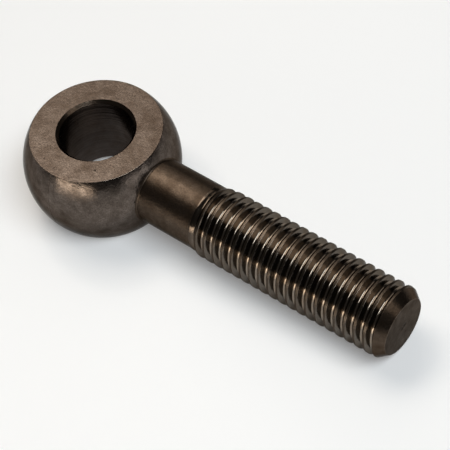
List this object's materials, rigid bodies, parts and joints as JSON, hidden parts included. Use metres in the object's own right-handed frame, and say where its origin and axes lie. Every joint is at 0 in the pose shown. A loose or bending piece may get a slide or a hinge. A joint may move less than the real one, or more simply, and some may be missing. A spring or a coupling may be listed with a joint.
{
  "type": "eye bolt rod end",
  "caption": "Ball-shaped eye with two flats and a chamfered cross bore, on a plain shank that carries a right-hand thread up to a chamfered point.",
  "frame": {"origin": "centre of the eye's bore, midway between the two flats", "axes": "+Z along the bore's axis, +X along the shank towards the threaded point"},
  "size_m": [0.0711, 0.0256, 0.014],
  "materials": {
    "steel": "satin bare steel with a warm brown tint, fine turning marks in the bore and on the flats"
  },
  "bodies": {
    "root": {"eye_bolt": "steel"}
  },
  "joints": []
}
